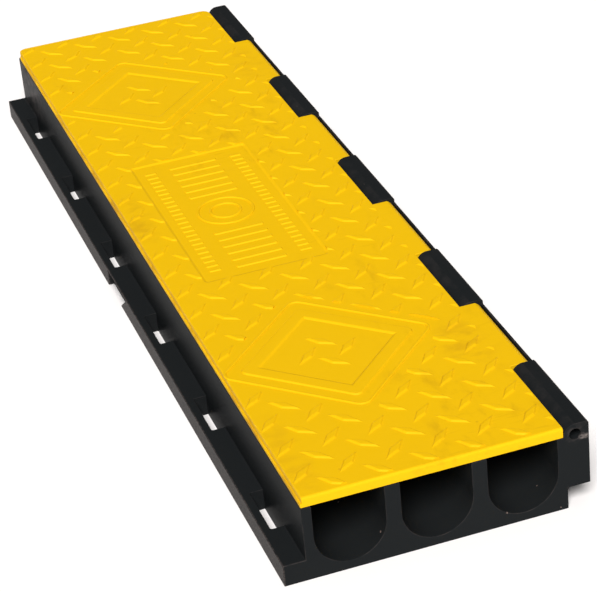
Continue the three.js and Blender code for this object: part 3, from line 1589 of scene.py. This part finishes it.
@dataclass(frozen=True)
class Tread:
    """The plate's moulded relief: rows of lugs, two diamond frames and a sunk grip panel.

    The frame's skirt is in metres, and its climb pairs shares of the slope and of the height.
    """

    lid: Lid
    lug: Lug = Lug()
    lug_turn: float = 45.2
    pitch_x: float = 0.0367
    pitch_y: float = 0.0381
    falling_start: Point = (-0.0758, 0.0107)
    rising_start: Point = (-0.0942, -0.0084)
    columns: range = range(-1, 6)
    rows: range = range(-13, 14)
    near_limit: float = 0.0045
    side_limit: float = 0.0015
    least_left: float = 0.0018
    diamond_spacing: float = 0.550
    diamond_margin: float = 0.008
    diamond_turn: float = 45.0
    bead_half: float = 0.065
    bead_width: float = 0.0026
    bead_corner: float = 0.010
    frame_half: float = 0.0532
    frame_width: float = 0.013
    frame_corner: float = 0.006
    frame_slope: float = 0.0010
    frame_fall: float = 0.0020
    frame_skirt: tuple[Point, ...] = ((-0.0002, -0.0004), (-0.0001, 0.0))
    frame_climb: tuple[Point, ...] = ((0.12, 0.10), (0.75, 0.86), (1.0, 0.96), (1.5, 1.0))
    height: float = 0.0011
    buried: float = -0.0004
    bead_turn: int = 20
    least_corner: float = 0.0004
    corner_steps: int = 9
    rosette_count: int = 4
    rosette_radius: float = 0.017

    @property
    def diamonds(self) -> list[Point]:
        """The middles of the two diamonds."""
        x, y = self.lid.panel_centre
        return [(x, y + side * self.diamond_spacing / 2) for side in (-1, 1)]

    def ridge(self, relief: Relief, centre: Point, half: tuple[float, float], corner: float,
              turn: float, ground: float, profile: Sequence[Point]) -> None:
        """Adds a ridge that runs round a rectangle.

        Args:
            relief: What it is added to.
            centre: The rectangle's middle.
            half: Half its outer width and length.
            corner: The outer corner's radius.
            turn: How far it is turned, in degrees.
            ground: The height of the face that it stands on.
            profile: Distances inwards from the outer side, each with its height.
        """
        rings = []
        for inwards, rise in profile:
            x, y = half[0] - inwards, half[1] - inwards
            radius = max(corner - inwards, self.least_corner)
            plain = rounded_rectangle((-x, -y), (x, y), [radius] * 4, self.corner_steps)
            rings.append(placed(plain, centre, turn, ground + rise))
        relief.ridge(rings)

    def bead_profile(self) -> list[Point]:
        """The section of a round bead.

        Returns:
            Distances inwards, each with its height.
        """
        half = self.bead_width / 2
        turns = [math.radians(a) for a in range(0, 181, self.bead_turn)]
        crown = [(half - half * math.cos(a), self.height * math.sin(a)) for a in turns]
        return [(0.0, self.buried), *crown, (self.bead_width, self.buried)]

    def frame_profile(self) -> list[Point]:
        """The section of a diamond's flat inner frame, with sloping sides.

        Returns:
            Distances inwards, each with its height.
        """
        def climb(slope: float) -> list[Point]:
            """One side, from its foot to the crest."""
            return [*self.frame_skirt, *((x * slope, z * self.height) for x, z in self.frame_climb)]

        fall = [(self.frame_width - x, z) for x, z in reversed(climb(self.frame_fall))]
        return [*climb(self.frame_slope), *fall]

    def add_lugs(self, relief: Relief) -> None:
        """Adds the rows of lugs, cut off where the diamonds, the panel and the plate's edges are.

        Args:
            relief: What they are added to.
        """
        ground = self.lid.cover.lid_top
        for start, turn in ((self.falling_start, -self.lug_turn), (self.rising_start, self.lug_turn)):
            for i in self.columns:
                for k in self.rows:
                    place = (start[0] + i * self.pitch_x, start[1] + k * self.pitch_y)
                    planes = self.cuts(place, turn)
                    if planes is None:
                        continue
                    faces = relief.mound(self.lug.rings(place, turn, ground))
                    for point, outwards in planes:
                        relief.trim([f for f in faces if f.is_valid], point, outwards)

    def cuts(self, place: Point, turn: float) -> list[tuple[Vector, Vector]] | None:
        """The planes that a lug at this place is cut with.

        Args:
            place: The lug's middle.
            turn: Its direction, in degrees from +X.

        Returns:
            Each plane's point and its outward direction, or None where too little of it is left.
        """
        c, lid = self.lid.cover, self.lid
        spot = Vector((*place, 0))
        limits = [
            (Vector((0, c.near + self.near_limit, 0)), Vector((0, -1, 0))),
            (Vector((0, c.far - self.near_limit, 0)), Vector((0, 1, 0))),
            (Vector((c.wall_face + lid.lip_reach + self.side_limit, 0, 0)), Vector((-1, 0, 0))),
            (Vector((c.lid_edge - self.side_limit, 0, 0)), Vector((1, 0, 0))),
        ]
        margin = self.bead_half + self.diamond_margin
        blocks = [KeepOut(centre, margin, margin, self.diamond_turn) for centre in self.diamonds]
        blocks.append(KeepOut(lid.panel_centre, lid.panel_width / 2, lid.panel_length / 2, 0))
        for block in blocks:
            _, point, outwards = block.nearest_side(spot)
            limits.append((point, -outwards))
        planes = []
        for point, outwards in limits:
            inside = (point - spot).dot(outwards)
            reach = self.lug.reach(turn, outwards)
            if inside < self.least_left - reach:
                return None
            if inside < reach:
                planes.append((point, outwards))
        return planes

    def add_diamond(self, relief: Relief, centre: Point) -> None:
        """Adds a diamond: its bead, its flat frame and a rosette of lugs.

        Args:
            relief: What it is added to.
            centre: The diamond's middle.
        """
        ground = self.lid.cover.lid_top
        bead, inner = self.bead_half, self.frame_half
        self.ridge(relief, centre, (bead, bead), self.bead_corner, self.diamond_turn, ground,
                   self.bead_profile())
        self.ridge(relief, centre, (inner, inner), self.frame_corner, self.diamond_turn, ground,
                   self.frame_profile())
        for i in range(self.rosette_count):
            turn = 360 * i / self.rosette_count
            angle = math.radians(turn)
            place = (centre[0] + self.rosette_radius * math.cos(angle),
                     centre[1] + self.rosette_radius * math.sin(angle))
            relief.mound(self.lug.rings(place, turn + self.diamond_turn, ground))

    def build(self, finish: bpy.types.Material) -> bpy.types.Object:
        """Moulds the relief.

        Args:
            finish: Its material.

        Returns:
            The piece, on the lid's plate.
        """
        relief = Relief()
        self.add_lugs(relief)
        for centre in self.diamonds:
            self.add_diamond(relief, centre)
        GripPanel(self.lid).add_to(relief, self)
        return relief.solid().piece("lid_relief", Body.LID, Slot.YELLOW, finish)


@dataclass(frozen=True)
class RibBank:
    """A row of like ribs that lie across the lid."""

    offset: Point
    length: float
    width: float
    pitch: float
    count: int


@dataclass(frozen=True)
class GripPanel:
    """The sunk panel's plain relief: short ribs along both sides, wide ribs and two rings between.

    The ribs' profile pairs shares of the slope, inwards, with shares of the height.
    """

    lid: Lid
    height: float = 0.0009
    slope: float = 0.0007
    rings: tuple[float, ...] = (0.0265, 0.0150)
    banks: tuple[RibBank, ...] = (
        RibBank(offset=(-0.0415, 0.0), length=0.0110, width=0.0036, pitch=0.0089, count=24),
        RibBank(offset=(0.0415, 0.0), length=0.0110, width=0.0036, pitch=0.0089, count=24),
        RibBank(offset=(0.0, 0.0715), length=0.0460, width=0.0056, pitch=0.0132, count=6),
        RibBank(offset=(0.0, -0.0715), length=0.0460, width=0.0056, pitch=0.0132, count=6),
    )
    profile: tuple[Point, ...] = (
        (-0.3, -0.4), (-0.15, 0.0), (0.1, 0.12), (0.7, 0.80), (1.0, 0.95), (1.6, 1.0),
    )
    end_round: float = 0.7
    corner_steps: int = 5

    def bar(self, bank: RibBank, centre: Point, ground: float) -> list[Ring]:
        """One rib's rings.

        Args:
            bank: The bank that it belongs to.
            centre: Its middle.
            ground: The height of the panel.

        Returns:
            The rings, from its buried foot to its crest.
        """
        rings = []
        for inset, rise in self.profile:
            x, y = bank.length / 2 - inset * self.slope, bank.width / 2 - inset * self.slope
            plain = rounded_rectangle((-x, -y), (x, y), [self.end_round * y] * 4, self.corner_steps)
            rings.append(placed(plain, centre, 0.0, ground + rise * self.height))
        return rings

    def add_to(self, relief: Relief, tread: Tread) -> None:
        """Adds the panel's ribs and rings.

        Args:
            relief: What they are added to.
            tread: The tread whose bead the rings repeat.
        """
        x, y = self.lid.panel_centre
        ground = self.lid.cover.lid_top - self.lid.panel_depth
        for bank in self.banks:
            for i in range(bank.count):
                along = (i - (bank.count - 1) / 2) * bank.pitch
                centre = (x + bank.offset[0], y + bank.offset[1] + along)
                relief.mound(self.bar(bank, centre, ground))
        for radius in self.rings:
            tread.ridge(relief, (x, y), (radius, radius), radius, 0, ground, tread.bead_profile())


@dataclass(frozen=True)
class Rod:
    """The rod that the lid turns on."""

    cover: Cover
    chamfer: float = 0.0008

    def build(self, finish: bpy.types.Material) -> bpy.types.Object:
        """Turns the rod.

        Args:
            finish: Its material.

        Returns:
            The piece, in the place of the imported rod.
        """
        c = self.cover
        circle = c.rod_circle(c.rod_diameter / 2)
        solid = Solid.prism(circle, Axis.Y, c.near + c.rod_recess, c.far - c.rod_recess)
        solid.soften(lambda middle, along, convex: self.chamfer, segments=3)
        piece = solid.piece("rod", Body.BASE, Slot.ROD, finish)
        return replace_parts(piece, "hinge_rod")


@dataclass(frozen=True)
class Camera:
    """A camera that looks down along the cover from its near end."""

    place: tuple[float, float, float] = (-0.4870, -1.8224, 1.0474)
    azimuth: float = 16.148
    elevation: float = 29.593
    roll: float = -5.679
    lens: float = 142.05
    sensor: float = 36.0

    def build(self) -> bpy.types.Object:
        """Makes it the scene's camera.

        Returns:
            The camera.
        """
        data = bpy.data.cameras.new("camera")
        data.lens = self.lens
        data.sensor_width = self.sensor
        made = bpy.data.objects.new("camera", data)
        turn = Matrix.Rotation(math.radians(-self.azimuth), 4, "Z")
        tip = Matrix.Rotation(math.radians(90 - self.elevation), 4, "X")
        lean = Matrix.Rotation(math.radians(self.roll), 4, "Z")
        made.matrix_world = Matrix.Translation(self.place) @ turn @ tip @ lean
        bpy.context.scene.collection.objects.link(made)
        bpy.context.scene.camera = made
        return made


@dataclass(frozen=True)
class SoftLight:
    """A wide studio light, far enough away to light the whole floor alike."""

    name: str
    azimuth: float
    elevation: float
    spread: float
    power: float

    def build(self) -> bpy.types.Object:
        """Adds the light. Its azimuth turns from the near side towards the ledge's side.

        Returns:
            The light.
        """
        data = bpy.data.lights.new(self.name, "SUN")
        data.angle = math.radians(self.spread)
        data.energy = self.power
        made = bpy.data.objects.new(self.name, data)
        turn, lift = math.radians(self.azimuth), math.radians(self.elevation)
        towards = Vector((-math.sin(turn) * math.cos(lift), -math.cos(turn) * math.cos(lift),
                          math.sin(lift)))
        made.matrix_world = (-towards).to_track_quat("-Z", "Y").to_matrix().to_4x4()
        bpy.context.scene.collection.objects.link(made)
        return made


@dataclass(frozen=True)
class Studio:
    """The pale floor, the soft lights and a surround that is pale low down and dim above."""

    floor_size: float = 30.0
    floor_colour: Colour = screen(246, 242, 240)
    floor_roughness: float = 0.9
    cove: Colour = (1.0, 0.985, 0.97, 1.0)
    cove_strength: float = 0.6
    cove_top: float = 0.10
    dim_strength: float = 0.03
    dim_from: float = 0.24
    lights: tuple[SoftLight, ...] = (
        SoftLight(name="key", azimuth=20.0, elevation=47.0, spread=28.0, power=4.4),
        SoftLight(name="overhead", azimuth=0.0, elevation=90.0, spread=60.0, power=0.4),
    )

    def floor(self) -> bpy.types.Object:
        """Lays the floor.

        Returns:
            The floor.
        """
        half = self.floor_size / 2
        mesh = bpy.data.meshes.new("floor")
        mesh.from_pydata([(-half, -half, 0), (half, -half, 0), (half, half, 0), (-half, half, 0)], [],
                         [(0, 1, 2, 3)])
        pale = bpy.data.materials.new("pale_floor")
        pale.use_nodes = True
        shader = pale.node_tree.nodes["Principled BSDF"]
        shader.inputs["Base Color"].default_value = self.floor_colour
        shader.inputs["Roughness"].default_value = self.floor_roughness
        mesh.materials.append(pale)
        made = bpy.data.objects.new("floor", mesh)
        bpy.context.scene.collection.objects.link(made)
        return made

    def surround(self) -> bpy.types.World:
        """Makes the world that shows round the floor.

        Returns:
            The world.
        """
        world = bpy.data.worlds.new("surround")
        world.use_nodes = True
        tree = world.node_tree
        direction = add(tree, "TexCoord", {}).outputs["Generated"]
        height = add(tree, "SeparateXYZ", {"Vector": direction}).outputs["Z"]
        fade = add(tree, "MapRange", {"Value": height, "From Min": self.cove_top,
                                      "From Max": self.dim_from, "To Min": self.cove_strength,
                                      "To Max": self.dim_strength}, interpolation_type="SMOOTHSTEP")
        background = tree.nodes["Background"]
        background.inputs["Color"].default_value = self.cove
        tree.links.new(fade.outputs["Result"], background.inputs["Strength"])
        return world

    def build(self) -> None:
        """Sets up the floor, the lights and the surround."""
        self.floor()
        for light in self.lights:
            light.build()
        bpy.context.scene.world = self.surround()
        bpy.context.scene.view_settings.view_transform = "Standard"


def main() -> None:
    """Builds the camera, the studio and the pieces, in that order."""
    logging.basicConfig(level=logging.INFO, format="%(name)s: %(message)s")
    Camera().build()
    Studio().build()
    grain = Grain.build()
    black, yellow = BLACK.material(grain), YELLOW.material(grain)
    cover = Cover.from_frame()
    Base(cover).build(black)
    lid = Lid(cover)
    lid.build(yellow)
    Tread(lid).build(yellow)
    Rod(cover).build(RodFinish().material(grain))


if __name__ == "__main__":
    main()
